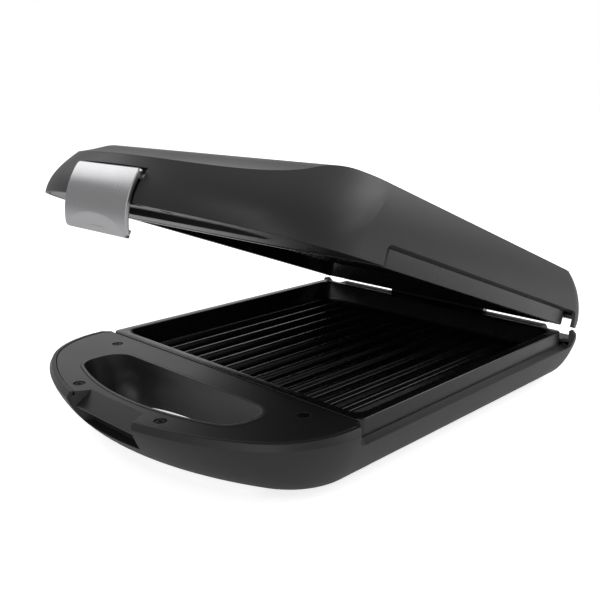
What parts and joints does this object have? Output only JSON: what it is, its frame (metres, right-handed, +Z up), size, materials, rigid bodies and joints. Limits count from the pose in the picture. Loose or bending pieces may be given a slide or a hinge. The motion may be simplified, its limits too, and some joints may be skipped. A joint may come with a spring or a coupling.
{
  "type": "panini press",
  "caption": "Contact grill for sandwiches: bowl-shaped base and hinged wedge lid, each with a ribbed plate and a looped handle, held shut by a swinging silver latch.",
  "frame": {"origin": "on the surface the feet stand on, under the middle of the press", "axes": "+X to the right as a cook faces the handle, +Y from the handle to the hinge, +Z up"},
  "size_m": [0.266, 0.3781, 0.1915],
  "materials": {
    "charcoal_shell": "satin moulded charcoal",
    "charcoal_cover": "satin moulded charcoal",
    "nonstick_plate": "black non-stick coating on cast aluminium",
    "satin_silver": "satin silver",
    "steel": "plated",
    "black_screw": "blackened",
    "heater_sheath": "oxidised sheath",
    "aluminised_sheet": "mill finish",
    "ceramic": "glazed",
    "foot_rubber": "matte"
  },
  "bodies": {
    "base": {"base_cover_screws": "black_screw", "base_handle_cover": "charcoal_cover", "base_housing": "charcoal_shell", "base_well_liner": "charcoal_shell", "cord_gland": "charcoal_cover", "hinge_base_leaf": "steel", "hinge_base_screws": "steel", "hinge_pin": "steel", "latch_catch": "charcoal_cover", "lower_grill_plate": "nonstick_plate", "lower_heat_reflector": "aluminised_sheet", "lower_heating_element": "heater_sheath", "lower_plate_screws": "black_screw", "lower_thermostat": "ceramic", "rubber_feet": "foot_rubber", "terminal_block": "ceramic"},
    "lid": {"hinge_lid_leaf": "steel", "hinge_lid_screws": "steel", "latch_pin": "steel", "lid_cover_screws": "black_screw", "lid_handle_cover": "charcoal_cover", "lid_housing": "charcoal_shell", "lid_well_cup": "charcoal_shell", "upper_grill_plate": "nonstick_plate", "upper_heat_reflector": "aluminised_sheet", "upper_heating_element": "heater_sheath", "upper_plate_screws": "black_screw", "upper_thermostat": "ceramic"},
    "latch": {"latch": "satin_silver"}
  },
  "joints": [
    {"name": "lid_hinge", "type": "hinge", "parent": "base", "child": "lid", "pos_m": [0, 0.16247, 0.0445], "axis": [-1, 0, 0], "range_deg": [-19.85, 75.15]},
    {"name": "latch_pivot", "type": "hinge", "parent": "lid", "child": "latch", "pos_m": [0, -0.16845, 0.18098], "axis": [-1, 0, 0], "range_deg": [-3, 14]}
  ]
}
